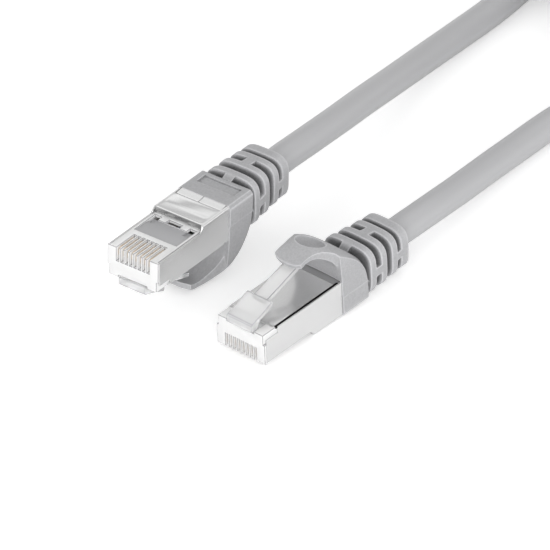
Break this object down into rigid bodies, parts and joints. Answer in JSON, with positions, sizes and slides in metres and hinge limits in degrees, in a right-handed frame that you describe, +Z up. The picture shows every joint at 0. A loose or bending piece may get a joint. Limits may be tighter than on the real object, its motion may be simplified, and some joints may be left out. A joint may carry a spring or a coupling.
{
  "type": "ethernet patch cable",
  "caption": "Shielded ethernet patch cable with clear modular plugs, grey moulded boots with press tabs over the latches, and the spare length tied in a flat hank.",
  "frame": {"origin": "middle of the footprint of the two plugs with their boots, on the surface they lie on", "axes": "+X from the plugs' noses toward their cable, +Y toward the plug that lies with its contacts up, +Z up"},
  "size_m": [0.2239, 0.0568, 0.0172],
  "materials": {
    "clear_plastic": "clear polished polycarbonate",
    "nickel": "bright nickel plating on thin sheet",
    "gold": "thin gold plating",
    "boot_plastic": "finely grained moulded vinyl",
    "cable_jacket": "semi-gloss extruded vinyl",
    "inner_mould": "matte pre-mould",
    "wire_blue": "solid and white-striped insulation",
    "wire_orange": "solid and white-striped insulation",
    "wire_green": "solid and white-striped insulation",
    "wire_brown": "solid and white-striped insulation",
    "copper": "bright copper",
    "foil": "wrinkled foil",
    "tinned_wire": "tinned",
    "hook_and_loop": "woven hook-and-loop tape"
  },
  "bodies": {
    "root": {"housing_a": "clear_plastic", "load_bar_a": "clear_plastic", "shield_a": "nickel", "conductors_a": "copper", "foil_a": "foil", "drain_wire_a": "tinned_wire", "jacket_end_a": "cable_jacket", "inner_mould_a": "inner_mould", "boot_a": "boot_plastic", "contact_a1": "gold", "contact_a2": "gold", "contact_a3": "gold", "contact_a4": "gold", "contact_a5": "gold", "contact_a6": "gold", "contact_a7": "gold", "contact_a8": "gold", "blue_pair_a": "wire_blue", "orange_pair_a": "wire_orange", "green_pair_a": "wire_green", "brown_pair_a": "wire_brown", "housing_b": "clear_plastic", "load_bar_b": "clear_plastic", "shield_b": "nickel", "conductors_b": "copper", "foil_b": "foil", "drain_wire_b": "tinned_wire", "jacket_end_b": "cable_jacket", "inner_mould_b": "inner_mould", "boot_b": "boot_plastic", "contact_b1": "gold", "contact_b2": "gold", "contact_b3": "gold", "contact_b4": "gold", "contact_b5": "gold", "contact_b6": "gold", "contact_b7": "gold", "contact_b8": "gold", "blue_pair_b": "wire_blue", "orange_pair_b": "wire_orange", "green_pair_b": "wire_green", "brown_pair_b": "wire_brown", "cable_run_a": "cable_jacket", "cable_run_b": "cable_jacket", "cable_hank": "cable_jacket", "hank_tie_left": "hook_and_loop", "hank_tie_right": "hook_and_loop"},
    "press_tab_a": {"press_tab_a": "boot_plastic"},
    "latch_a": {"latch_a": "clear_plastic"},
    "press_tab_b": {"press_tab_b": "boot_plastic"},
    "latch_b": {"latch_b": "clear_plastic"}
  },
  "joints": [
    {"name": "press_tab_a_hinge", "type": "hinge", "parent": "root", "child": "press_tab_a", "pos_m": [0.00085, 0.01241, 0.00421], "axis": [-0.0401, 0.9992, 0], "range_deg": [0, 20], "stiffness_Nm_per_rad": 0.008, "springref_deg": -2.86},
    {"name": "latch_a_hinge", "type": "hinge", "parent": "root", "child": "latch_a", "pos_m": [-0.02225, 0.01149, 0.00861], "axis": [0.0401, -0.9992, 0], "range_deg": [0, 14.5], "stiffness_Nm_per_rad": 0.008, "springref_deg": -2.86},
    {"name": "press_tab_b_hinge", "type": "hinge", "parent": "root", "child": "press_tab_b", "pos_m": [0.0045, -0.0124, 0.01281], "axis": [-0.0401, -0.9992, 0], "range_deg": [0, 20], "stiffness_Nm_per_rad": 0.008, "springref_deg": -2.86},
    {"name": "latch_b_hinge", "type": "hinge", "parent": "root", "child": "latch_b", "pos_m": [-0.01849, -0.01148, 0.0078], "axis": [0.0401, 0.9992, 0], "range_deg": [0, 14.5], "stiffness_Nm_per_rad": 0.008, "springref_deg": -2.86}
  ],
  "couplings": [
    {"joint": "latch_a_hinge", "follows": "press_tab_a_hinge", "ratio": 0.71},
    {"joint": "latch_b_hinge", "follows": "press_tab_b_hinge", "ratio": 0.71}
  ]
}
